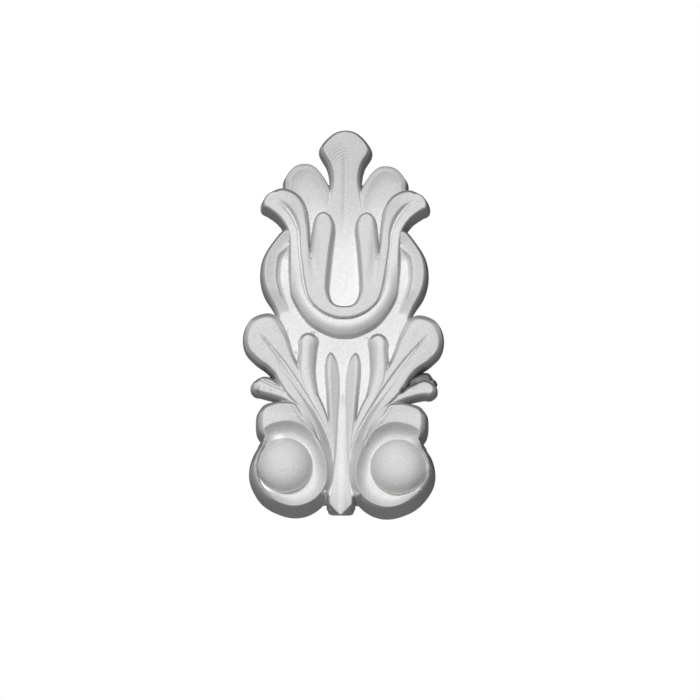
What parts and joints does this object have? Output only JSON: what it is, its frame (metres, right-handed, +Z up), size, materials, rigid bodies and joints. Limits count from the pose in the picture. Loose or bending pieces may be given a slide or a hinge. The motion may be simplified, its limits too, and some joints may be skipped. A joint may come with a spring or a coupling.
{
  "type": "floral applique",
  "caption": "Moulded floral applique with a tulip-like cup over spreading leaves that curl into ball-filled scrolls, flat at the back to be glued to a panel.",
  "frame": {"origin": "on the flat back, at mid-height and on the line of symmetry", "axes": "+Z up along the height, +Y out of the flat back into what it is fixed to, so the carved front faces -Y; +X to the right seen from the front"},
  "size_m": [0.0526, 0.0145, 0.1025],
  "materials": {
    "cast_white": "matt white casting resin, as demoulded"
  },
  "bodies": {
    "root": {"floral_applique": "cast_white"}
  },
  "joints": []
}
